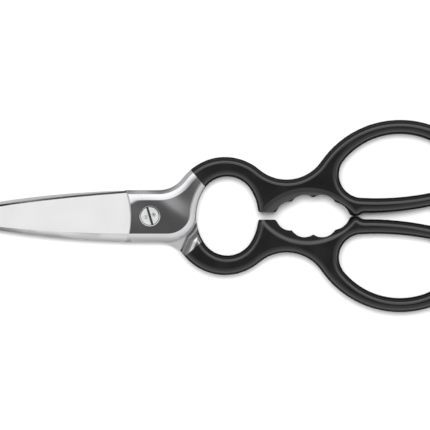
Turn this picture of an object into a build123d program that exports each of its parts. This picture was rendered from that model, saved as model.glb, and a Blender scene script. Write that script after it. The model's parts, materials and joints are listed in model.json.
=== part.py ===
from build123d import *
import math
import os

# Kitchen shears: two equal forgings crossed at a slotted shoulder screw, each with a coated handle.
# Lengths are millimetres. +X runs from the tips to the finger loops, +Y across, +Z up.
# While it is built, the pivot is at zero and the blades meet on the plane z = 0.

# Layers of steel
half_thickness = 3.7        # from the meeting plane to the flat of either half
ride_gap = 0.04             # from the meeting plane to the inner face of either half
overrun = 5.0               # how far a cutting shape passes the metal that it cuts

# Bolster, the flat round the pivot
bolster_half_width = 10.45
bolster_corner_radius = 12.15
bolster_run_in = 24.0       # length left of the pivot before the blade ground is cut away
neck_fillet_radius = 12.15
bolster_bevel_radius = 9.5  # the bevel's inner border round the corner
neck_bevel_width = 2.1      # the bevel's width from there up the neck, beside the oval opening
strip_width = 1.65          # steep facet along the bolster's other side
strip_drop = 1.65
shoulder_width = 2.4        # shallow facet from there to the flat, a little convex
shoulder_drop = 0.32
shoulder_bulge = 0.05
lap_clearance = 0.5         # between the bolster's round corner and the other half's step
lap_corner_angle = 50.0     # where the step leaves the round corner
lap_wall_angle = 113.5      # way of the step's straight part
lap_foot = 3.0              # height above the centre line where the step's thin end is cut off
lap_slope_run = 4.8         # the step leans back in a round slope of this width
lap_slope_bulge = 1.0

# Blade
tip_reach = 83.25           # from the pivot to the point, before it is rounded
tip_radius = 0.5
spine_start = 1.4           # right of the pivot, where the spine starts to curve in
spine_radius = 420.0
spine_bend = 58.0           # left of the pivot, where it curves in faster towards the tip
spine_tip_radius = 124.0
edge_radius = 800.0
edge_inset = 0.8            # from the bolster's side in to the cutting edge at the heel
plunge_reach = 7.6          # from the pivot to the end of the ground face
plunge_radius = 36.0
plunge_run = 0.9            # how far the sloping wall at its end comes forward at its foot
ground_height_spine = 3.15  # height of the ground face at the heel, by the spine bevel
ground_height_edge = 0.85   # and by the cutting edge
ground_height_tip = 1.35
spine_bevel_width = 3.3
spine_bevel_foot = 1.25     # height of the spine's upright side
spine_bevel_bulge = 0.1     # the bevel is a little convex
edge_bevel_width = 0.8
edge_bevel_foot = 0.3
hollow_radius = 213.0       # inner face ground hollow, so that only its borders touch
hollow_depth = 0.15
hollow_start = 13.0
hollow_end = 75.0

# Loop between the bolster and the nutcracker jaw
arm_centre_x = 30.4
arm_centre_y = 2.6
arm_radius = 21.3
oval_left = 18.7
oval_right = 43.9
oval_half_height = 16.0
oval_side_radius = 20.0
valley_radius = 17.2

# Nutcracker jaw and the pad in front of it
jaw_centre_x = 66.2
jaw_centre_y = -14.9
jaw_radius = 22.5
scallop_radius = 6.3
scallop_depth = 1.36        # past the jaw's circle, which runs through the teeth's tips
scallop_angles = (32.2, 11.7, -11.7, -30.4)
scallop_radius_shares = (0.92, 1.0, 1.0, 1.19)
scallop_depth_shares = (0.71, 1.0, 1.0, 0.15)
scallop_tip_radius = 0.4
jaw_stock = 1.0             # metal inside the jaw's circle, before the scallops are cut
pad_half_gap = 1.46
pad_corner_radius = 0.8
pad_root_radius = 2.6

# Stop between the handles, and the finger loop
stop_radius = 2.9
stop_half_gap = 0.07
stop_lead = 0.12            # how far the untrimmed stop passes the centre line
stop_blend_radius = 3.0
loop_top_x = 101.25
loop_top_height = 38.9
loop_top_radius = 38.6
loop_low_x = 88.3
loop_low_height = 1.3
loop_low_radius = 121.5
loop_end_share = 0.851      # radius of the loop's end over half the loop's height
loop_top_wall = 5.65
loop_low_wall = 5.9
finger_low_x = 91.5
finger_top_inset = 9.0      # how much tighter the opening's curves are than the loop's
finger_low_inset = 8.1
finger_front_share = 0.722  # radii of the opening's ends over half its height
finger_rear_share = 0.806

# Handle section and its coat
crown_width = 2.6           # sloping border round the flats
crown_drop = 0.28
edge_round = 2.3
coat_thickness = 0.8
front_coat_angle = 131.0    # round the loop arm's centre, where the coat ends
back_coat_angle = 140.0

# Pivot screw and washer
shoulder_diameter = 5.0
shoulder_clearance = 0.05
thread_diameter = 4.0
thread_fit = 0.02
peened_diameter = 6.4
peened_depth = 1.2
head_diameter = 7.3
head_height = 1.1
head_edge_round = 0.35
slot_width = 0.9
slot_depth = 0.7
slot_angle = 106.9
washer_diameter = 8.3
washer_thickness = 0.35
washer_dish = 0.15
washer_bore_clearance = 0.1
washer_seat_depth = 0.3
washer_seat_clearance = 0.1


def meet(first, first_distance, second, second_distance, side):
    """The point at two distances from two centres, left (1) or right (-1) of the way between them."""
    way = second - first
    along = (way.length ** 2 + first_distance ** 2 - second_distance ** 2) / (2 * way.length)
    across = math.sqrt(first_distance ** 2 - along ** 2)
    forward = way.normalized()
    return first + forward * along + forward.rotate(Axis.Z, 90) * (across * side)


def touch(first, second):
    """Where two tangent circles touch; a circle is a centre and a radius, minus where it is hollow."""
    (first_centre, first_radius), (second_centre, second_radius) = first, second
    return first_centre + (second_centre - first_centre) * (first_radius / (first_radius - second_radius))


def arc(circle, start, end):
    """The stretch of a circle between two of its points, anticlockwise, or clockwise where it is hollow."""
    centre, radius = circle
    turn = math.copysign(90, radius)
    return TangentArc(start, end, tangent=(start - centre).rotate(Axis.Z, turn))


def ring(circles):
    """A closed outline of circles that each touch the next."""
    points = [touch(circles[index - 1], circles[index]) for index in range(len(circles))]
    ends = points[1:] + points[:1]
    return make_face([arc(*stretch) for stretch in zip(circles, points, ends)])


def arm_centre():
    return Vector(arm_centre_x, arm_centre_y)


def bolster_corner():
    """Centre of the bolster's round corner, which runs on into the side of the oval opening."""
    rise = bolster_corner_radius - bolster_half_width
    reach = oval_side_radius + bolster_corner_radius
    return Vector(oval_left + oval_side_radius - math.sqrt(reach ** 2 - rise ** 2), rise)


def neck_centre():
    """Centre of the hollow curve from the bolster's straight side to the loop arm."""
    rise = bolster_half_width + neck_fillet_radius - arm_centre().Y
    reach = math.sqrt((arm_radius + neck_fillet_radius) ** 2 - rise ** 2)
    return arm_centre() + Vector(-reach, rise)


def oval_left_centre():
    return Vector(oval_left + oval_side_radius, 0)


def oval_end():
    """Centre and radius of the oval's top, which touches both of its sides."""
    half_width = (oval_right - oval_left) / 2
    shift = oval_side_radius - half_width
    fall = oval_side_radius ** 2 - oval_half_height ** 2 - shift ** 2
    radius = fall / (2 * (oval_side_radius - oval_half_height))
    return Vector((oval_left + oval_right) / 2, oval_half_height - radius), radius


def handle_outline(inset):
    """Outline of the bolster and handle, with its radii drawn in by the inset; pad and stop untrimmed."""
    oval_right_centre = Vector(oval_right - oval_side_radius, 0)
    oval_top_centre, oval_top_radius = oval_end()
    jaw = Vector(jaw_centre_x, jaw_centre_y)
    uncut_radius = jaw_radius - jaw_stock
    pad = meet(oval_right_centre, oval_side_radius + pad_root_radius, jaw, uncut_radius + pad_root_radius, 1)
    stop_rise = stop_radius - stop_lead - jaw_centre_y
    stop = jaw + Vector(math.sqrt((uncut_radius + stop_radius) ** 2 - stop_rise ** 2), stop_rise)
    low = Vector(loop_low_x, loop_low_height + loop_low_radius)
    blend = meet(stop, stop_radius + stop_blend_radius, low, loop_low_radius + stop_blend_radius, -1)
    top = Vector(loop_top_x, loop_top_height - loop_top_radius)
    end_radius = loop_end_share * (loop_top_height - loop_low_height) / 2
    end = meet(low, loop_low_radius - end_radius, top, loop_top_radius - end_radius, 1)
    valley = meet(top, loop_top_radius + valley_radius, arm_centre(), arm_radius + valley_radius, -1)
    circles = [
        (bolster_corner(), bolster_corner_radius - inset),
        (oval_left_centre(), -oval_side_radius - inset),
        (oval_top_centre, -oval_top_radius - inset),
        (oval_right_centre, -oval_side_radius - inset),
        (pad, pad_root_radius - inset),
        (jaw, -uncut_radius - inset),
        (stop, stop_radius - inset),
        (blend, -stop_blend_radius - inset),
        (low, loop_low_radius - inset),
        (end, end_radius - inset),
        (top, loop_top_radius - inset),
        (valley, -valley_radius - inset),
        (arm_centre(), arm_radius - inset),
        (neck_centre(), -neck_fillet_radius - inset),
    ]
    side = bolster_half_width - inset
    points = [Vector(bolster_corner().X, -side)]
    points += [touch(circles[index], circles[index + 1]) for index in range(len(circles) - 1)]
    points += [Vector(neck_centre().X, side)]
    edges = [arc(circle, points[index], points[index + 1]) for index, circle in enumerate(circles)]
    corners = [points[-1], Vector(-bolster_run_in, side), Vector(-bolster_run_in, -side), points[0]]
    edges += [Line(corners[index], corners[index + 1]) for index in range(len(corners) - 1)]
    return make_face(edges)


def finger_opening(inset):
    """Opening of the finger loop, let out by the inset."""
    top_height = loop_top_height - loop_top_wall
    low_height = loop_low_height + loop_low_wall
    top_radius = loop_top_radius - finger_top_inset
    low_radius = loop_low_radius - finger_low_inset
    front_radius = finger_front_share * (top_height - low_height) / 2
    rear_radius = finger_rear_share * (top_height - low_height) / 2
    top = Vector(loop_top_x, top_height - top_radius)
    low = Vector(finger_low_x, low_height + low_radius)
    front = meet(top, top_radius - front_radius, low, low_radius - front_radius, 1)
    rear = meet(top, top_radius - rear_radius, low, low_radius - rear_radius, -1)
    return ring([
        (low, low_radius + inset),
        (rear, rear_radius + inset),
        (top, top_radius + inset),
        (front, front_radius + inset),
    ])


def scallop_circles(inset):
    """Centre and radius of each scallop; they lie along the jaw's circle, and the inset lets them out."""
    jaw = Vector(jaw_centre_x, jaw_centre_y)
    circles = []
    for angle, radius_share, depth_share in zip(scallop_angles, scallop_radius_shares, scallop_depth_shares):
        radius = scallop_radius * radius_share
        reach = jaw_radius + scallop_depth * depth_share - radius
        circles.append((jaw + Vector(0, reach).rotate(Axis.Z, angle), radius + inset))
    return circles


def scallops(inset):
    """Plan of the nutcracker's scallops, with the tips between them a little rounded."""
    discs = [Pos(centre) * Circle(radius) for centre, radius in scallop_circles(inset)]
    plan = discs[0]
    for disc in discs[1:]:
        plan += disc
    tips = plan.vertices().sort_by(Axis.Y)[1 - len(discs):]
    return fillet(tips, scallop_tip_radius + inset)


def slab(left, right, low, high):
    """A rectangle between two places along X and two along Y."""
    return Pos((left + right) / 2, (low + high) / 2) * Rectangle(right - left, high - low)


def pad_trim(inset):
    """Plan of what is cut off the pad's end: all past its end line, and its two corners."""
    end = pad_half_gap + inset
    first_scallop, first_radius = scallop_circles(inset)[0]
    left = oval_right - oval_side_radius + math.sqrt((oval_side_radius + inset) ** 2 - end ** 2)
    scallop_reach = math.sqrt(first_radius ** 2 - (end - first_scallop.Y) ** 2)
    right = first_scallop.X - scallop_reach
    plan = slab(left - overrun, right + overrun, end - 2 * overrun, end)
    for corner, way in ((left, 1), (right, -1)):
        centre = corner + way * pad_corner_radius
        outside = corner - way * pad_corner_radius
        top = end + pad_corner_radius
        plan += slab(min(centre, outside), max(centre, outside), end - pad_corner_radius, top)
        plan -= Pos(centre, top) * Circle(pad_corner_radius)
    return plan


def stop_trim(inset):
    """Plan of what is cut off the stop, so that the two stops meet on flats."""
    return slab(jaw_centre_x, loop_top_x, stop_half_gap + inset - 2 * overrun, stop_half_gap + inset)


def through(plan):
    """A plan shape carried right through the thickness."""
    return extrude(plan, half_thickness + overrun, both=True)


def rims(body):
    """The two flats of a full-thickness body, each with its rim but for the edge at the blade's end."""
    flats = body.faces().sort_by(Axis.Z)
    return [(flat, flat.edges().sort_by(Axis.X)[1:]) for flat in (flats[0], flats[-1])]


def trims(inset):
    """All that is cut out of the handle from the jaw's side."""
    return through(scallops(inset)) + through(pad_trim(inset)) + through(stop_trim(inset))


def handle_solid():
    """Bolster and handle at full thickness, with crowned flats, rounded edges and the toothed jaw."""
    body = extrude(handle_outline(0) - finger_opening(0), half_thickness, both=True)
    for flat, rim in rims(body):
        body = body.chamfer(crown_width, crown_drop, rim, flat)
    lower = half_thickness - crown_drop
    outer = body.edges().filter_by(lambda edge: math.isclose(abs(edge.center().Z), lower))
    body = body.fillet(edge_round, outer.filter_by(lambda edge: edge.center().X > -bolster_run_in))
    return body - trims(0)


def core_solid():
    """What the coat covers: the same form, smaller all round by the coat's thickness."""
    inset = coat_thickness
    body = extrude(handle_outline(inset) - finger_opening(inset), half_thickness - inset, both=True)
    for flat, rim in rims(body):
        body = body.chamfer(edge_round - inset, None, rim)
    return body - trims(inset)


def coat_side(angle):
    """All that lies on the coat's side of the plane where the coat ends, round the loop arm's centre."""
    reach = tip_reach + loop_top_x + loop_top_radius
    line = Vector(1, 0).rotate(Axis.Z, angle)
    across = line.rotate(Axis.Z, -90)
    corners = [
        arm_centre() + line * reach,
        arm_centre() - line * reach,
        arm_centre() - line * reach + across * reach,
        arm_centre() + line * reach + across * reach,
    ]
    return through(make_face(Polyline(*corners, close=True)))


def plunge_centre():
    return Vector(-plunge_reach - plunge_radius, 0)


def ground_zone():
    """Plan of all that is ground to a blade: everything beyond the curved plunge line."""
    far = tip_reach + overrun
    zone = slab(-far, plunge_centre().X, -plunge_radius, plunge_radius)
    return zone + Pos(plunge_centre()) * Circle(plunge_radius)


def plunge_cut():
    """The bolster's room for the ground face, with the wall that slopes down to it."""
    slope = plunge_run / half_thickness
    height = half_thickness + overrun
    foot_radius = plunge_radius - plunge_run
    bottom = (Align.CENTER, Align.CENTER, Align.MIN)
    return Pos(plunge_centre()) * Cone(foot_radius, foot_radius + slope * height, height, align=bottom)


def spine_centre():
    return Vector(spine_start, spine_radius - bolster_half_width)


def spine_bend_way():
    """Way from the spine's centre to the point where the spine starts to curve in faster."""
    across = -spine_bend - spine_start
    return Vector(across, -math.sqrt(spine_radius ** 2 - across ** 2)).normalized()


def spine_tip_centre():
    """Centre of the spine's last stretch, which is tangent to the long one."""
    return spine_centre() + spine_bend_way() * (spine_radius - spine_tip_radius)


def blade_tip():
    """Where the spine's last curve comes to the blade's full reach."""
    centre = spine_tip_centre()
    fall = math.sqrt(spine_tip_radius ** 2 - (tip_reach + centre.X) ** 2)
    return Vector(-tip_reach, centre.Y - fall)


def edge_centre():
    """Centre of the cutting edge's curve, through the tip and the heel."""
    heel = Vector(-plunge_reach, bolster_half_width - edge_inset)
    return meet(blade_tip(), edge_radius, heel, edge_radius, -1)


def ground_off(border, facets):
    """Section of what is ground off along a border, drawn at X = 0 with the metal on its left.

    It starts at a height on the border. Each facet has a width, the height that it ends at and a bulge.
    """
    points = [Vector(0, 0, border)]
    lines = []
    for width, height, bulge in facets:
        start, end = points[-1], Vector(points[-1].X - width, 0, height)
        middle = (start + end) * 0.5 + Vector(0, 0, bulge)
        lines.append(ThreePointArc(start, middle, end) if bulge else Line(start, end))
        points.append(end)
    outside = points[0] + (points[0] - points[1]).normalized() * overrun
    top = half_thickness + overrun
    rest = Polyline(points[-1], Vector(points[-1].X, 0, top), Vector(outside.X, 0, top), outside, points[0])
    return make_face(lines + rest.edges())


def swept(section, centre, radius, start, end):
    """A section carried round a circle's border; the radius is minus where the metal lies outside it."""
    placed = Pos(abs(radius), 0, 0) * (section if radius > 0 else Rot(0, 0, 180) * section)
    return Pos(centre) * Rot(0, 0, start) * revolve(placed, Axis.Z, revolution_arc=end - start)


def angle_of(way):
    return math.degrees(math.atan2(way.Y, way.X))


def spine_bevel(rise):
    return ground_off(spine_bevel_foot, [(spine_bevel_width, rise, spine_bevel_bulge)])


def spine_wheels():
    """What bevels the spine: one long curve, and a faster one from the bend to the tip."""
    section = spine_bevel(ground_height_spine)
    bend = angle_of(spine_bend_way())
    long_wheel = swept(section, spine_centre(), spine_radius, bend - 90, bend + 90)
    return [long_wheel, swept(section, spine_tip_centre(), spine_tip_radius, bend - 90, bend)]


def edge_wheel():
    """What bevels the cutting edge."""
    section = ground_off(edge_bevel_foot, [(edge_bevel_width, ground_height_edge, 0)])
    return swept(section, edge_centre(), edge_radius, 0, 180)


def face_grinder():
    """All above the ground face, which falls from the spine to the edge and from the heel to the tip."""
    tip = blade_tip()
    spine_point = Vector(-plunge_reach, spine_bevel_width - bolster_half_width, ground_height_spine)
    edge_point = Vector(-plunge_reach, bolster_half_width - edge_inset, ground_height_edge)
    tip_point = Vector(tip.X, tip.Y, ground_height_tip)
    normal = (edge_point - spine_point).cross(tip_point - spine_point)
    if normal.Z < 0:
        normal = -normal
    face = Plane(origin=tip_point, x_dir=edge_point - tip_point, z_dir=normal)
    reach = 2 * (tip_reach + overrun)
    return extrude(face * Rectangle(reach, reach), half_thickness + overrun, dir=normal)


def hollow_wheel():
    """A great cylinder that grinds the inner face hollow, deepest at the heel and running out at the tip."""
    length = hollow_end - hollow_start
    tilt = math.degrees(math.atan(hollow_depth / length))
    wheel = Rot(0, 90, 0) * Cylinder(hollow_radius, length, align=(Align.CENTER, Align.CENTER, Align.MIN))
    return Pos(-hollow_end, 0, ride_gap) * Rot(0, -tilt, 0) * Pos(0, 0, -hollow_radius) * wheel


def blade():
    """The blade of the upper layer: cutting edge at +Y, spine at -Y."""
    wide = 2 * bolster_half_width
    plan = Pos(spine_centre()) * Circle(spine_radius) & Pos(edge_centre()) * Circle(edge_radius)
    plan = plan & (Pos(spine_tip_centre()) * Circle(spine_tip_radius) + slab(-spine_bend, 0, -wide, wide))
    plan = plan & slab(-tip_reach - overrun, 0, -wide, wide)
    plan = fillet(plan.vertices().sort_by(Axis.X)[0], tip_radius)
    plan = plan & ground_zone()
    solid = Pos(0, 0, ride_gap) * extrude(plan, half_thickness - ride_gap)
    solid -= face_grinder()
    return solid - spine_wheels() - edge_wheel() - hollow_wheel()


def bolster_bevel():
    """The spine's bevel carried on along the bolster, round its corner and up beside the oval."""
    section = spine_bevel(half_thickness)
    outer_radius = bolster_bevel_radius + spine_bevel_width
    border_radius = oval_side_radius + neck_bevel_width
    height = outer_radius - bolster_half_width
    reach = math.sqrt((border_radius + bolster_bevel_radius) ** 2 - height ** 2)
    centre = oval_left_centre() + Vector(-reach, height)
    side = Pos(centre.X, -bolster_half_width) * Rot(0, 0, -90) * section
    meeting = angle_of(oval_left_centre() - centre)
    return [
        extrude(side, bolster_run_in + overrun, dir=(-1, 0, 0)),
        swept(section, centre, outer_radius, -90, meeting),
        swept(section, oval_left_centre(), spine_bevel_width - border_radius, 90, 180 + meeting),
    ]


def shoulder():
    """The steep strip and the shallow facet along the bolster's other side, as far as the coat."""
    foot = half_thickness - shoulder_drop
    section = ground_off(foot - strip_drop, [
        (strip_width, foot, 0),
        (shoulder_width, half_thickness, shoulder_bulge),
    ])
    side = Pos(neck_centre().X, bolster_half_width) * Rot(0, 0, 90) * section
    meeting = angle_of(arm_centre() - neck_centre())
    return [
        extrude(side, bolster_run_in + overrun, dir=(-1, 0, 0)),
        swept(section, neck_centre(), -neck_fillet_radius, -90, meeting),
        swept(section, arm_centre(), arm_radius, 90, 180 + meeting),
    ]


def lap_section():
    """What is taken out of the lower layer behind the step's foot, so that it leans back."""
    foot = Vector(0, 0, ride_gap)
    head = Vector(-lap_slope_run, 0, -half_thickness)
    middle = (foot + head) * 0.5 - Vector(0, 0, lap_slope_bulge)
    bottom = head.Z - overrun
    rest = Polyline(head, Vector(head.X, 0, bottom), Vector(overrun, 0, bottom), Vector(overrun, 0, foot.Z), foot)
    return make_face([ThreePointArc(foot, middle, head)] + rest.edges())


def lap_corner():
    """Centre and radius of the step's round part, and the point where its straight part starts."""
    centre = Vector(bolster_corner().X, -bolster_corner().Y)
    radius = bolster_corner_radius + lap_clearance
    return centre, radius, centre + Vector(radius, 0).rotate(Axis.Z, lap_corner_angle)


def lap_way():
    """The step's straight part, from its start to well past the neck's side."""
    return Vector(arm_centre_y + arm_radius, 0).rotate(Axis.Z, lap_wall_angle)


def lap_slope():
    """What makes the step lean back, along its round and its straight part."""
    section = lap_section()
    corner, radius, turn = lap_corner()
    wall = Pos(turn) * Rot(0, 0, lap_wall_angle + 90) * section
    return [
        swept(section, corner, -radius, 0, lap_corner_angle),
        extrude(wall, lap_way().length, dir=lap_way()),
    ]


def lap_cut():
    """Room in the lower layer for the other half's bolster, up to the step where the halves lap."""
    corner, radius, turn = lap_corner()
    far = turn + lap_way()
    left = -tip_reach - overrun
    wedge = Polyline(turn, far, Vector(left, far.Y), Vector(left, corner.Y), corner, close=True)
    plan = make_face(wedge) + Pos(corner) * Circle(radius)
    plan += slab(left, oval_left + overrun, -2 * bolster_half_width, lap_foot)
    depth = half_thickness + overrun
    return Pos(0, 0, ride_gap - depth) * extrude(plan, depth)


def half(coat_angle):
    """One half of the shears, blade in the upper layer: its forging and the coat on its handle."""
    outer = handle_solid() - lap_cut()
    core = core_solid()
    coated = coat_side(coat_angle)
    coat = outer & coated - core
    bare = outer - coated - plunge_cut() - bolster_bevel() - shoulder() - lap_slope()
    return bare + (core & coated) + blade(), coat


def drill_front(forging):
    """Bore for the screw's shoulder and the shallow seat for the washer."""
    bore = Cylinder(shoulder_diameter / 2 + shoulder_clearance, 2 * (half_thickness + overrun))
    seat_radius = washer_diameter / 2 + washer_seat_clearance
    floor = half_thickness - washer_seat_depth
    seat = Pos(0, 0, floor) * Cylinder(seat_radius, overrun, align=(Align.CENTER, Align.CENTER, Align.MIN))
    return forging - bore - seat


def peened_profile(fit):
    """Half section of the screw's lower end: straight thread, then the end spread into its countersink."""
    thread = thread_diameter / 2 + fit
    spread = peened_diameter / 2 + fit
    return [
        Vector(spread, 0, -half_thickness),
        Vector(thread, 0, peened_depth - half_thickness),
        Vector(thread, 0, -ride_gap),
    ]


def drill_back(forging):
    """The threaded hole and its countersink in the outer face."""
    spread, thread, top = peened_profile(thread_fit)
    profile = [Vector(0, 0, spread.Z - overrun), Vector(spread.X, 0, spread.Z - overrun), spread, thread,
               Vector(top.X, 0, overrun), Vector(0, 0, overrun)]
    return forging - revolve(make_face(Polyline(*profile, close=True)), Axis.Z)


def pivot_screw():
    """Slotted head, smooth shoulder that the front half turns on, and thread peened over at the back."""
    washer_floor = half_thickness - washer_seat_depth + ride_gap
    under_head = washer_floor + washer_dish + washer_thickness
    top = under_head + head_height
    shoulder = shoulder_diameter / 2
    head = head_diameter / 2
    profile = [Vector(0, 0, -half_thickness)] + peened_profile(0)
    profile += [Vector(shoulder, 0, -ride_gap), Vector(shoulder, 0, under_head), Vector(head, 0, under_head)]
    profile += [Vector(head, 0, top), Vector(0, 0, top)]
    screw = revolve(make_face(Polyline(*profile, close=True)), Axis.Z)
    screw = screw.fillet(head_edge_round, screw.faces().sort_by(Axis.Z)[-1].edges())
    slot = Box(head_diameter + overrun, slot_width, 2 * slot_depth)
    return screw - Pos(0, 0, top) * Rot(0, 0, slot_angle) * slot


def spring_washer():
    """Dished washer: its rim presses on the front half, its bore end on the screw's head."""
    floor = half_thickness - washer_seat_depth + ride_gap
    inner = shoulder_diameter / 2 + washer_bore_clearance
    outer = washer_diameter / 2
    profile = Polyline(
        Vector(outer, 0, floor),
        Vector(outer, 0, floor + washer_thickness),
        Vector(inner, 0, floor + washer_thickness + washer_dish),
        Vector(inner, 0, floor + washer_dish),
        close=True,
    )
    return revolve(make_face(profile), Axis.Z)


front_forging, front_coat = half(front_coat_angle)
back_forging, back_coat = half(back_coat_angle)
pieces = {
    "front_forging": drill_front(front_forging),
    "front_grip_coat": front_coat,
    "back_forging": drill_back(Rot(180, 0, 0) * back_forging),
    "back_grip_coat": Rot(180, 0, 0) * back_coat,
    "pivot_screw": pivot_screw(),
    "spring_washer": spring_washer(),
}

# The shears lie on z = 0, with the middle of their box over the origin.
box = Compound([solid for piece in pieces.values() for solid in piece.solids()]).bounding_box()
to_origin = Pos(-box.center().X, -box.center().Y, -box.min.Z)
os.makedirs("parts", exist_ok=True)
for name, piece in pieces.items():
    export_step(to_origin * piece, f"parts/{name}.step")
print("pivot at", to_origin.position)
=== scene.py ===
import json
import math

import bpy
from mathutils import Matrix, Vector


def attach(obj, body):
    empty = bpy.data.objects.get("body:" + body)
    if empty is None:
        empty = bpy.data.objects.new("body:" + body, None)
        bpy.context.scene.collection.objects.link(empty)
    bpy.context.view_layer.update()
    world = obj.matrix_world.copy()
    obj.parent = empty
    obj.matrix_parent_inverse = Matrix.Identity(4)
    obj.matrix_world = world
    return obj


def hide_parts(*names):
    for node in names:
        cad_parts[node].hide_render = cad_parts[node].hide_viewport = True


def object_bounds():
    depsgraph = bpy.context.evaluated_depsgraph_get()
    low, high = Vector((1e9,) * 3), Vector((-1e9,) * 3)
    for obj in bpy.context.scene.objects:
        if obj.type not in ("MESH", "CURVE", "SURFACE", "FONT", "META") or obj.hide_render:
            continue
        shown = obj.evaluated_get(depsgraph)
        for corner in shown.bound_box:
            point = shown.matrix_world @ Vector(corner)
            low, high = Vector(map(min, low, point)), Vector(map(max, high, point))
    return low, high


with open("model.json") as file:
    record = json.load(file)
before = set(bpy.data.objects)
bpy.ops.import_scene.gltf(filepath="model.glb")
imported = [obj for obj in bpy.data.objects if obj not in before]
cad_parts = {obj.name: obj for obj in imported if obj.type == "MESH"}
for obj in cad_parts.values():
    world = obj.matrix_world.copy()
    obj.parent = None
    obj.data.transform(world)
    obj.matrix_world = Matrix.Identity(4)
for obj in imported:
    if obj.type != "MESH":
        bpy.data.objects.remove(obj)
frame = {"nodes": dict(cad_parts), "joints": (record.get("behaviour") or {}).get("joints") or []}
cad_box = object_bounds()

# The two forgings. Each is one stainless forging: blade, bolster, neck and the core of its handle.
# The blade's face is ground satin. Its spine bevel and the whole bolster are polished on a soft wheel,
# which leaves them very slightly wavy. The hidden faces that slide on each other are ground.
MM = 0.001
PIVOT = Vector(frame["joints"][0]["pos_m"])
# All places along X and Y are from the pivot. The plunge line, between blade and bolster, is an arc:
# its centre on the long axis, and its radius
PLUNGE_CENTRE = -43.6 * MM
PLUNGE_RADIUS = 36.0 * MM
# The ground face: height over the meeting plane at the pivot, and its rise per metre along X and Y
FACE_HEIGHT = 2.2517 * MM
FACE_RISE = (0.010599, -0.136905)
# How far under the ground face's plane a bevel starts, how wide one finish goes over into the next,
# and how far from the meeting plane the hidden faces reach
BEVEL_START = 0.015 * MM
FINISH_BORDER = 0.12 * MM
SLIDING_DEPTH = 0.22 * MM
# The cutting edge: where it starts and ends, and how far it is let out there
EDGE_HEEL = -8.8 * MM
EDGE_TIP = -81.2 * MM
LET_OUT_HEEL = 0.64 * MM
LET_OUT_TIP = 1.19 * MM
# How late the edge turns in to the tip, and its way along X for each unit out, as the plunge line runs
TIP_FULLNESS = 6
PLUNGE_LEAN = -0.27
# A face whose normal points across by more than this belongs to the edge's bevel
EDGE_STEEPNESS = 0.3
# Corners closer together than this are one
MERGE_DISTANCE = 0.001 * MM
# The wheel has rounded the flat off: by the plunge, where the line bends down, and up towards the neck
FLAT_BORDER = 6.4 * MM
PLUNGE_ROUNDING = {"bend": 0.037 / MM, "width": 1.6 * MM, "slope": math.tan(math.radians(5.5))}
NECK_WAY = math.radians(55)
NECK_ROUNDING = {"start": 2.5 * MM, "width": 6.0 * MM, "slope": math.tan(math.radians(3.1))}
SATIN_TONE = (0.70, 0.70, 0.705, 1)
SLIDING_TONE = (0.66, 0.66, 0.665, 1)
POLISHED_TONE = (0.50, 0.50, 0.508, 1)
# The spine's bevel is painted darker down to its border, between these two heights: painted shade
BEVEL_PAINTED_SHADE_TONE = (0.27, 0.27, 0.275, 1)
BEVEL_FOOT = 1.25 * MM
BEVEL_CLEAR = 2.5 * MM
SATIN_ROUGHNESS = 0.40
POLISHED_ROUGHNESS = 0.14
# How far the roughness goes up and down
STEEL_SPAN = 0.02
# Patterns in waves per metre along X, Y and Z, the wheel's also with its turn in degrees
STEEL_WAVES = (90.0, 90.0, 90.0)
WHEEL_WAVES = (70.0, 40.0, 40.0)
WHEEL_TURN = 40.0
WHEEL_DETAIL = 0.0
WHEEL_DEPTH = 1.0 * MM
GRAIN_WAVES = (3200.0, 60.0, 60.0)
GRAIN_DETAIL = 4.0
GRAIN_DEPTH = 0.004 * MM
# The grain's strength on the two finishes
SATIN_GRAIN, POLISHED_GRAIN = 0.5, 0.02
# Nearly all of a noise lies between these two values
NOISE_LOW, NOISE_HIGH = 0.3, 0.7
# The bump distance for a height that is worked out in metres
WHOLE_METRE = 1.0


def new_material(name):
    """A node material, its node tree and its shader."""
    material = bpy.data.materials.new(name)
    material.use_nodes = True
    tree = material.node_tree
    return material, tree, tree.nodes["Principled BSDF"]


def own_place(tree):
    """The object's own coordinates."""
    return tree.nodes.new("ShaderNodeTexCoord").outputs["Object"]


def math_node(tree, operation, first, second=0.0):
    """One step of arithmetic between two sockets or numbers."""
    node = tree.nodes.new("ShaderNodeMath")
    node.operation = operation
    for index, value in enumerate((first, second)):
        if isinstance(value, (int, float)):
            node.inputs[index].default_value = value
        else:
            tree.links.new(value, node.inputs[index])
    return node.outputs[0]


def graded(tree, value, start, end, low=0.0, high=1.0):
    """A number that goes from low to high while a value goes from start to end."""
    node = tree.nodes.new("ShaderNodeMapRange")
    node.clamp = True
    node.inputs["From Min"].default_value = start
    node.inputs["From Max"].default_value = end
    node.inputs["To Min"].default_value = low
    node.inputs["To Max"].default_value = high
    tree.links.new(value, node.inputs["Value"])
    return node.outputs["Result"]


def mixed(tree, share, first, second):
    """One tone that goes over into another; each is a socket or a colour."""
    node = tree.nodes.new("ShaderNodeMix")
    node.data_type = "RGBA"
    for name, tone in (("A", first), ("B", second)):
        if isinstance(tone, tuple):
            node.inputs[name].default_value = tone
        else:
            tree.links.new(tone, node.inputs[name])
    tree.links.new(share, node.inputs["Factor"])
    return node.outputs["Result"]


def noise(tree, place, waves, turn=0.0, detail=2.0):
    """Noise with its own number of waves per metre along each axis, turned round Z."""
    mapping = tree.nodes.new("ShaderNodeMapping")
    mapping.vector_type = "TEXTURE"
    mapping.inputs["Rotation"].default_value = (0, 0, math.radians(turn))
    mapping.inputs["Scale"].default_value = [1.0 / count for count in waves]
    tree.links.new(place, mapping.inputs["Vector"])
    texture = tree.nodes.new("ShaderNodeTexNoise")
    texture.inputs["Scale"].default_value = 1.0
    texture.inputs["Detail"].default_value = detail
    tree.links.new(mapping.outputs["Vector"], texture.inputs["Vector"])
    return texture.outputs["Fac"]


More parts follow.
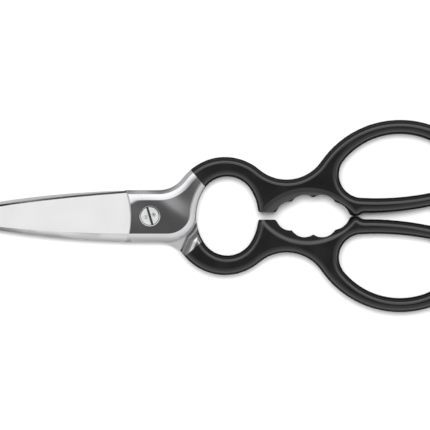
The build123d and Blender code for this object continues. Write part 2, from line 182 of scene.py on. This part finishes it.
def uneven(tree, pattern, middle, span):
    """A number that a noise moves up and down round a middle value."""
    return graded(tree, pattern, NOISE_LOW, NOISE_HIGH, middle - span, middle + span)


def from_pivot(tree, place, side=1):
    """X, Y and Z from the pivot; the side is -1 for the half that lies upside down."""
    split = tree.nodes.new("ShaderNodeSeparateXYZ")
    tree.links.new(place, split.inputs[0])
    x = math_node(tree, "SUBTRACT", split.outputs["X"], PIVOT.x)
    y = math_node(tree, "MULTIPLY", math_node(tree, "SUBTRACT", split.outputs["Y"], PIVOT.y), side)
    z = math_node(tree, "MULTIPLY", math_node(tree, "SUBTRACT", split.outputs["Z"], PIVOT.z), side)
    return x, y, z


def weighed(tree, x, y, shares):
    """The sum of a share of x and a share of y."""
    return math_node(tree, "ADD", math_node(tree, "MULTIPLY", x, shares[0]),
                     math_node(tree, "MULTIPLY", y, shares[1]))


def length(tree, x, y):
    """Length of the way x, y."""
    square = math_node(tree, "ADD", math_node(tree, "MULTIPLY", x, x), math_node(tree, "MULTIPLY", y, y))
    return math_node(tree, "SQRT", square)


def sliding_mask(tree, z):
    """1 on the faces that slide on the other half."""
    depth = math_node(tree, "ABSOLUTE", z)
    return graded(tree, depth, SLIDING_DEPTH, SLIDING_DEPTH + FINISH_BORDER, 1.0, 0.0)


def polish_mask(tree, x, y, z):
    """1 on the bolster and on the blade's bevels, 0 on its ground face and on the faces that slide."""
    along = math_node(tree, "SUBTRACT", x, PLUNGE_CENTRE)
    bolster = graded(tree, length(tree, along, y),
                     PLUNGE_RADIUS - FINISH_BORDER, PLUNGE_RADIUS + FINISH_BORDER)
    bolster = math_node(tree, "MULTIPLY", bolster, math_node(tree, "GREATER_THAN", along, 0.0))
    plane = math_node(tree, "ADD", weighed(tree, x, y, FACE_RISE), FACE_HEIGHT)
    bevel = graded(tree, math_node(tree, "SUBTRACT", plane, z), BEVEL_START, 2 * BEVEL_START)
    outside = math_node(tree, "SUBTRACT", 1.0, sliding_mask(tree, z))
    return math_node(tree, "MULTIPLY", math_node(tree, "MAXIMUM", bolster, bevel), outside)


def rounded_off(tree, past, width, slope):
    """Height of a face that starts to fall at a line and falls evenly beyond a width."""
    near = graded(tree, past, 0.0, width)
    bend = math_node(tree, "MULTIPLY", math_node(tree, "MULTIPLY", near, near), -slope * width / 2)
    beyond = math_node(tree, "MAXIMUM", math_node(tree, "SUBTRACT", past, width), 0.0)
    return math_node(tree, "ADD", bend, math_node(tree, "MULTIPLY", beyond, -slope))


def wheel_rounding(tree, x, y):
    """Height of the bolster's flat, in metres, as the polishing wheel has left it."""
    across = math_node(tree, "MINIMUM", y, FLAT_BORDER)
    left = math_node(tree, "MINIMUM", x, 0.0)
    dip = math_node(tree, "MULTIPLY", math_node(tree, "MULTIPLY", left, left), PLUNGE_ROUNDING["bend"])
    past = math_node(tree, "ADD", math_node(tree, "SUBTRACT", across, FLAT_BORDER), dip)
    plunge = rounded_off(tree, past, PLUNGE_ROUNDING["width"], PLUNGE_ROUNDING["slope"])
    upward = weighed(tree, x, y, (math.cos(NECK_WAY), math.sin(NECK_WAY)))
    past = math_node(tree, "SUBTRACT", upward, NECK_ROUNDING["start"])
    neck = rounded_off(tree, past, NECK_ROUNDING["width"], NECK_ROUNDING["slope"])
    return math_node(tree, "ADD", plunge, neck)


def bumped(tree, height, depth, strength, normal=None):
    """A bump of a given depth, on top of another one if there is one."""
    bump = tree.nodes.new("ShaderNodeBump")
    bump.inputs["Distance"].default_value = depth
    tree.links.new(height, bump.inputs["Height"])
    if isinstance(strength, float):
        bump.inputs["Strength"].default_value = strength
    else:
        tree.links.new(strength, bump.inputs["Strength"])
    if normal:
        tree.links.new(normal, bump.inputs["Normal"])
    return bump.outputs["Normal"]


def steel_tone(tree, x, z, polish):
    """The forging's tone: satin, polished with the bevel's border darkened by painted shade, and ground.
    """
    bolster_end = PLUNGE_CENTRE + PLUNGE_RADIUS
    on_bolster = graded(tree, x, bolster_end - FINISH_BORDER, bolster_end)
    # Painted shade: the blade's spine bevel is darkened towards its border, but not on the bolster
    clear = math_node(tree, "MAXIMUM", on_bolster, graded(tree, z, BEVEL_FOOT, BEVEL_CLEAR))
    outside = mixed(tree, polish, SATIN_TONE, mixed(tree, clear, BEVEL_PAINTED_SHADE_TONE, POLISHED_TONE))
    return mixed(tree, sliding_mask(tree, z), outside, SLIDING_TONE)


def forged_steel(name, side):
    """Stainless steel with its satin and its polished parts."""
    material, tree, shader = new_material(name)
    place = own_place(tree)
    x, y, z = from_pivot(tree, place, side)
    polish = polish_mask(tree, x, y, z)
    tree.links.new(steel_tone(tree, x, z, polish), shader.inputs["Base Color"])
    rough = graded(tree, polish, 0.0, 1.0, SATIN_ROUGHNESS, POLISHED_ROUGHNESS)
    rough = math_node(tree, "ADD", rough, uneven(tree, noise(tree, place, STEEL_WAVES), 0.0, STEEL_SPAN))
    tree.links.new(rough, shader.inputs["Roughness"])
    normal = bumped(tree, wheel_rounding(tree, x, y), WHOLE_METRE, polish)
    waves = noise(tree, place, WHEEL_WAVES, WHEEL_TURN, WHEEL_DETAIL)
    normal = bumped(tree, waves, WHEEL_DEPTH, polish, normal)
    grain = noise(tree, place, GRAIN_WAVES, 0.0, GRAIN_DETAIL)
    grain_strength = graded(tree, polish, 0.0, 1.0, SATIN_GRAIN, POLISHED_GRAIN)
    normal = bumped(tree, grain, GRAIN_DEPTH, grain_strength, normal)
    tree.links.new(normal, shader.inputs["Normal"])
    shader.inputs["Metallic"].default_value = 1.0
    return material


def dress(node, material):
    """Gives a carried node one material."""
    piece = frame["nodes"][node]
    piece.data.materials.clear()
    piece.data.materials.append(material)


def merged_copy(node, name):
    """A copy of a carried node, with its doubles merged and its shading kept."""
    piece = bpy.data.objects.new(name, frame["nodes"][node].data.copy())
    bpy.context.scene.collection.objects.link(piece)
    bpy.ops.object.select_all(action="DESELECT")
    bpy.context.view_layer.objects.active = piece
    piece.select_set(True)
    bpy.ops.object.mode_set(mode="EDIT")
    bpy.ops.mesh.select_all(action="SELECT")
    bpy.ops.mesh.remove_doubles(threshold=MERGE_DISTANCE, use_sharp_edge_from_normals=True)
    bpy.ops.object.mode_set(mode="OBJECT")
    return piece


def let_out(node, name, side):
    """The forging with its cutting edge ground less far in; its ground face stays the same plane."""
    piece = merged_copy(node, name)
    mesh = piece.data
    edge = set()
    for face in mesh.polygons:
        if (face.center - PIVOT).x < EDGE_HEEL and face.normal.y * side > EDGE_STEEPNESS:
            edge.update(face.vertices)
    for index in sorted(edge):
        vertex = mesh.vertices[index]
        place = vertex.co - PIVOT
        reach = min(1.0, max(0.0, (EDGE_HEEL - place.x) / (EDGE_HEEL - EDGE_TIP)))
        way = (LET_OUT_HEEL + (LET_OUT_TIP - LET_OUT_HEEL) * reach) * (1 - reach ** TIP_FULLNESS)
        face_height = FACE_HEIGHT + FACE_RISE[0] * place.x + FACE_RISE[1] * place.y * side
        on_face = abs(face_height - place.z * side) < BEVEL_START
        fall = FACE_RISE[0] * PLUNGE_LEAN + FACE_RISE[1] if on_face else 0.0
        vertex.co += Vector((PLUNGE_LEAN, side, fall * side)) * way
    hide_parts(node)
    return piece


dress("front_forging", forged_steel("front_steel", 1))
dress("back_forging", forged_steel("back_steel", -1))
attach(let_out("front_forging", "front_blade_and_bolster", 1), "front_half")
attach(let_out("back_forging", "back_blade_and_bolster", -1), "back_half")

# The two grip coats. Each handle is dipped in black nylon, about 0.8 mm thick.
# The coat is smooth with a soft gloss and ends in a clean line on the steel neck.
NYLON_TONE = (0.0065, 0.0065, 0.0068, 1)
NYLON_ROUGHNESS = 0.18
NYLON_SPAN = 0.04
NYLON_IOR = 1.65
GLOSS_WAVES = (110.0, 110.0, 110.0)
PEBBLE_WAVES = (2500.0, 2500.0, 2500.0)
PEBBLE_DEPTH = 0.003 * MM
PEBBLE_STRENGTH = 0.2
# Round the nutcracker's jaws the coat rolls off inside two circles, one for each half and a mirror of the
# other: the front one's centre, the radius, and the width and slope of the roll
JAW_CENTRE = (64.0 * MM, -13.2 * MM)
JAW_RADIUS = 25.3 * MM
JAW_ROLL = 2.7 * MM
JAW_SLOPE = math.tan(math.radians(25))


def dipped_nylon(name):
    """Black nylon: smooth, a little uneven in its gloss, with a very fine pebble."""
    material, tree, shader = new_material(name)
    place = own_place(tree)
    shader.inputs["Base Color"].default_value = NYLON_TONE
    shader.inputs["IOR"].default_value = NYLON_IOR
    gloss = noise(tree, place, GLOSS_WAVES)
    tree.links.new(uneven(tree, gloss, NYLON_ROUGHNESS, NYLON_SPAN), shader.inputs["Roughness"])
    x, y = from_pivot(tree, place)[:2]
    along = math_node(tree, "SUBTRACT", x, JAW_CENTRE[0])
    across = math_node(tree, "SUBTRACT", math_node(tree, "ABSOLUTE", y), JAW_CENTRE[1])
    inside = math_node(tree, "SUBTRACT", JAW_RADIUS, length(tree, along, across))
    roll = bumped(tree, rounded_off(tree, inside, JAW_ROLL, JAW_SLOPE), WHOLE_METRE, 1.0)
    pebble = noise(tree, place, PEBBLE_WAVES)
    tree.links.new(bumped(tree, pebble, PEBBLE_DEPTH, PEBBLE_STRENGTH, roll), shader.inputs["Normal"])
    return material


black_nylon = dipped_nylon("black_nylon")
dress("front_grip_coat", black_nylon)
dress("back_grip_coat", black_nylon)

# The pivot screw. It is turned from stainless bar, so that its head carries the fine rings of the tool.
# The slot is milled across it. The slot and the head's side are painted dark: painted shade.
SCREW_TONE = (0.93, 0.93, 0.935, 1)
SCREW_ROUGHNESS = 0.40
SCREW_SPAN = 0.06
WEAR_WAVES = (700.0, 700.0, 700.0)
RING_SCALE = 1400.0
RING_DEPTH = 0.004 * MM
RING_STRENGTH = 0.3
# The head's top is the highest place of the shears, here from the pivot
HEAD_TOP = cad_box[1][2] - PIVOT.z
# Two smudges beside the slot: how far from it, how wide, and the noise above which they are whole
SMUDGE_TONE = (0.12, 0.12, 0.125, 1)
SMUDGE_REACH = 1.6 * MM
SMUDGE_RADIUS = 1.1 * MM
SMUDGE_WHOLE = 0.5
# The head's side is painted dark, painted shade, from this far under its top
HEAD_SIDE_SHADE_TONE = (0.10, 0.10, 0.105, 1)
EDGE_DROP = 0.10 * MM
# The slot: its turn in degrees, and how far under the head's top its painted shade starts and is full
SLOT_SHADE_TONE = (0.07, 0.07, 0.07, 1)
SLOT_TURN = 16.9
SLOT_HALF_WIDTH = 0.44 * MM
SLOT_MOUTH = 0.02 * MM
SLOT_DEPTH = 0.3 * MM


def turned_tone(tree, aside, along, height, wear):
    """The screw's tone: bright, smudged beside the slot, with painted shade on the head's side and in the
    slot.
    """
    beside = math_node(tree, "SUBTRACT", aside, SMUDGE_REACH)
    smudge = graded(tree, length(tree, beside, along), 0.0, SMUDGE_RADIUS, 1.0, 0.0)
    smudge = math_node(tree, "MULTIPLY", smudge, graded(tree, wear, NOISE_LOW, SMUDGE_WHOLE))
    # Painted shade: the head's side is dark
    edge = graded(tree, height, HEAD_TOP - 2 * EDGE_DROP, HEAD_TOP - EDGE_DROP, 1.0, 0.0)
    face = mixed(tree, edge, mixed(tree, smudge, SCREW_TONE, SMUDGE_TONE), HEAD_SIDE_SHADE_TONE)
    # Painted shade: the slot is dark inside
    near = math_node(tree, "LESS_THAN", aside, SLOT_HALF_WIDTH)
    slot_shade = graded(tree, height, HEAD_TOP - SLOT_DEPTH, HEAD_TOP - SLOT_MOUTH, 1.0, 0.0)
    return mixed(tree, math_node(tree, "MULTIPLY", near, slot_shade), face, SLOT_SHADE_TONE)


def turned_steel(name):
    """Bright turned steel with rings round the pivot, with painted shade in the slot and on the head's
    side.
    """
    material, tree, shader = new_material(name)
    place = own_place(tree)
    turned = tree.nodes.new("ShaderNodeMapping")
    turned.vector_type = "TEXTURE"
    turned.inputs["Location"].default_value = PIVOT
    turned.inputs["Rotation"].default_value = (0, 0, math.radians(SLOT_TURN))
    tree.links.new(place, turned.inputs["Vector"])
    split = tree.nodes.new("ShaderNodeSeparateXYZ")
    tree.links.new(turned.outputs["Vector"], split.inputs[0])
    aside = math_node(tree, "ABSOLUTE", split.outputs["X"])
    wear = noise(tree, place, WEAR_WAVES)
    tone = turned_tone(tree, aside, split.outputs["Y"], split.outputs["Z"], wear)
    tree.links.new(tone, shader.inputs["Base Color"])
    tree.links.new(uneven(tree, wear, SCREW_ROUGHNESS, SCREW_SPAN), shader.inputs["Roughness"])
    rings = tree.nodes.new("ShaderNodeTexWave")
    rings.wave_type = "RINGS"
    rings.rings_direction = "Z"
    rings.inputs["Scale"].default_value = RING_SCALE
    tree.links.new(turned.outputs["Vector"], rings.inputs["Vector"])
    tree.links.new(bumped(tree, rings.outputs["Fac"], RING_DEPTH, RING_STRENGTH), shader.inputs["Normal"])
    shader.inputs["Metallic"].default_value = 1.0
    return material


dress("pivot_screw", turned_steel("turned_steel"))

# The spring washer. It is stamped from hard strip steel, dished, and sits in a shallow round seat
# under the screw's head, so that only its bright rim shows.
WASHER_TONE = (0.72, 0.72, 0.73, 1)
WASHER_ROUGHNESS = 0.30
WASHER_SPAN = 0.05
SCUFF_WAVES = (1500.0, 400.0, 400.0)
SCUFF_DEPTH = 0.004 * MM
SCUFF_STRENGTH = 0.3
# Close to the head it is painted dark, a painted shadow of the head's rim, and past that its rim is
# rounded down
HEAD_SHADOW_TONE = (0.03, 0.03, 0.03, 1)
HEAD_SHADOW_RADIUS = 3.85 * MM
HEAD_SHADOW_BORDER = 0.04 * MM
RIM_ROLL = 0.04 * MM
RIM_SLOPE = math.tan(math.radians(27))


def strip_steel(name):
    """Rolled strip steel with faint scuffs, and a painted shadow close to the screw's head."""
    material, tree, shader = new_material(name)
    place = own_place(tree)
    x, y = from_pivot(tree, place)[:2]
    reach = length(tree, x, y)
    # Painted shadow: the washer is dark close to the screw's head
    unshadowed = graded(tree, reach, HEAD_SHADOW_RADIUS - HEAD_SHADOW_BORDER, HEAD_SHADOW_RADIUS + HEAD_SHADOW_BORDER)
    tree.links.new(mixed(tree, unshadowed, HEAD_SHADOW_TONE, WASHER_TONE), shader.inputs["Base Color"])
    shader.inputs["Metallic"].default_value = 1.0
    scuff = noise(tree, place, SCUFF_WAVES)
    tree.links.new(uneven(tree, scuff, WASHER_ROUGHNESS, WASHER_SPAN), shader.inputs["Roughness"])
    past = math_node(tree, "SUBTRACT", reach, HEAD_SHADOW_RADIUS)
    rim = bumped(tree, rounded_off(tree, past, RIM_ROLL, RIM_SLOPE), WHOLE_METRE, 1.0)
    tree.links.new(bumped(tree, scuff, SCUFF_DEPTH, SCUFF_STRENGTH, rim), shader.inputs["Normal"])
    return material


dress("spring_washer", strip_steel("strip_steel"))

# The floor. The shears lie on a sheet of matt white board. It is lit more than they are,
# so that only a narrow soft shadow is left beside them.
FLOOR_SIZE = 3.0
# It lies a little lower than their undersides, so that no two faces share a plane
FLOOR_DROP = 0.05 * MM
FLOOR_TONE = 0.9
FLOOR_ROUGHNESS = 0.8
# In the shears' own glossy reflections the floor is painted dark up to a distance: a painted dark
# reflection, as if black cards lay there
REFLECTED_FLOOR_SHADE = 0.06
REFLECTION_SHADE_START, REFLECTION_SHADE_END = 0.05, 0.25


def white_board(name):
    """Matt white board, painted dark in glossy reflections from close by: a painted reflection."""
    material, tree, shader = new_material(name)
    ray = tree.nodes.new("ShaderNodeLightPath")
    # Painted reflection: glossy rays that meet the floor close by see it dark
    near = graded(tree, ray.outputs["Ray Length"], REFLECTION_SHADE_START, REFLECTION_SHADE_END, 1.0, 0.0)
    reflection_shade = math_node(tree, "MULTIPLY", ray.outputs["Is Glossy Ray"], near)
    tree.links.new(graded(tree, reflection_shade, 0.0, 1.0, FLOOR_TONE, REFLECTED_FLOOR_SHADE), shader.inputs["Base Color"])
    shader.inputs["Roughness"].default_value = FLOOR_ROUGHNESS
    shader.inputs["Specular IOR Level"].default_value = 0.0
    return material


bpy.ops.object.select_all(action="DESELECT")
bpy.ops.mesh.primitive_plane_add(size=FLOOR_SIZE, location=(0, 0, -FLOOR_DROP))
floor = bpy.context.object
floor.name = "floor"
floor.data.materials.append(white_board("white_board"))

# The camera looks straight down at the shears, and cuts off the tips and the loops' ends.
# Its place comes from the pivot's place in the picture and the picture's scale.
PHOTO_PIXELS = 430.0
PHOTO_SCALE = 0.405 * MM
PIVOT_PIXEL = (150.0, 216.0)
VIEW_WIDTH = PHOTO_PIXELS * PHOTO_SCALE
CAMERA_HEIGHT = 1.6
SENSOR_WIDTH = 36.0
CLIP_START, CLIP_END = 0.1, 10.0

view_centre = Vector((
    PIVOT.x + (PHOTO_PIXELS / 2 - PIVOT_PIXEL[0]) * PHOTO_SCALE,
    PIVOT.y + (PIVOT_PIXEL[1] - PHOTO_PIXELS / 2) * PHOTO_SCALE,
    PIVOT.z,
))
camera_data = bpy.data.cameras.new("camera")
camera = bpy.data.objects.new("camera", camera_data)
bpy.context.scene.collection.objects.link(camera)
camera.location = view_centre + Vector((0, 0, CAMERA_HEIGHT))
camera_data.sensor_width = SENSOR_WIDTH
camera_data.lens = SENSOR_WIDTH * CAMERA_HEIGHT / VIEW_WIDTH
camera_data.clip_start = CLIP_START
camera_data.clip_end = CLIP_END
bpy.context.scene.camera = camera

# The light. A long bright ceiling panel beyond the front half's handle gives the highlights.
# Straight above, the camera and its black cloth stay dark. Pale screens stand on the other side,
# and a soft box lights the floor alone.
HORIZON = 90.0
# Degrees from straight up, and the light there on the panel's side and on the other side
ROOM_STEPS = (
    (0, 0.115, 0.115),
    (6, 0.13, 0.115),
    (9, 1.15, 0.14),
    (12, 1.55, 0.30),
    (16, 1.75, 0.70),
    (20, 1.95, 0.75),
    (32, 2.10, 0.65),
    (38, 0.50, 0.60),
    (44, 0.25, 0.80),
    (50, 0.25, 1.10),
    (57, 0.30, 1.30),
    (66, 0.28, 1.45),
    (73, 0.28, 1.10),
    (80, 0.35, 0.64),
    (90, 0.60, 0.45),
)
# One side goes over into the other while a direction's Y goes from 0 to this
ROOM_BLEND = 0.25
FLOOR_BOX_ZENITH = 16.0
FLOOR_BOX_DISTANCE = 1.3
FLOOR_BOX_SIZE = (0.9, 0.58)
FLOOR_BOX_POWER = 14.0


def side_light(tree, turn, side):
    """The room's light on one side, by the angle from straight up."""
    full = max(max(step[1:]) for step in ROOM_STEPS)
    ramp = tree.nodes.new("ShaderNodeValToRGB")
    steps = ramp.color_ramp.elements
    for index, step in enumerate(ROOM_STEPS):
        # A new ramp already has two steps
        element = steps[index] if index < 2 else steps.new(step[0] / HORIZON)
        element.position = step[0] / HORIZON
        element.color = [step[side] / full] * 3 + [1]
    tree.links.new(turn, ramp.inputs["Fac"])
    return math_node(tree, "MULTIPLY", ramp.outputs["Color"], full)


def studio_room(name):
    """A dim room with the bright panel and the pale screens."""
    world = bpy.data.worlds.new(name)
    world.use_nodes = True
    tree = world.node_tree
    split = tree.nodes.new("ShaderNodeSeparateXYZ")
    tree.links.new(tree.nodes.new("ShaderNodeTexCoord").outputs["Generated"], split.inputs[0])
    zenith = math_node(tree, "ARCCOSINE", split.outputs["Z"])
    turn = math_node(tree, "DIVIDE", zenith, math.radians(HORIZON))
    share = graded(tree, split.outputs["Y"], 0.0, ROOM_BLEND)
    panel = math_node(tree, "MULTIPLY", side_light(tree, turn, 1), share)
    rest = math_node(tree, "SUBTRACT", 1.0, share)
    screens = math_node(tree, "MULTIPLY", side_light(tree, turn, 2), rest)
    background = tree.nodes["Background"]
    background.inputs["Color"].default_value = (1, 1, 1, 1)
    tree.links.new(math_node(tree, "ADD", panel, screens), background.inputs["Strength"])
    bpy.context.scene.world = world


def floor_box(name):
    """A soft box that lights the floor alone, past the shears."""
    data = bpy.data.lights.new(name, "AREA")
    data.shape = "RECTANGLE"
    data.size, data.size_y = FLOOR_BOX_SIZE
    data.energy = FLOOR_BOX_POWER
    light = bpy.data.objects.new(name, data)
    bpy.context.scene.collection.objects.link(light)
    tilt = math.radians(FLOOR_BOX_ZENITH)
    light.location = Vector((0, math.sin(tilt), math.cos(tilt))) * FLOOR_BOX_DISTANCE
    light.rotation_euler = (-tilt, 0, 0)
    lit = bpy.data.collections.new("lit_floor")
    lit.objects.link(floor)
    light.light_linking.receiver_collection = lit


studio_room("studio_room")
floor_box("floor_box")
bpy.context.scene.view_settings.view_transform = "Standard"
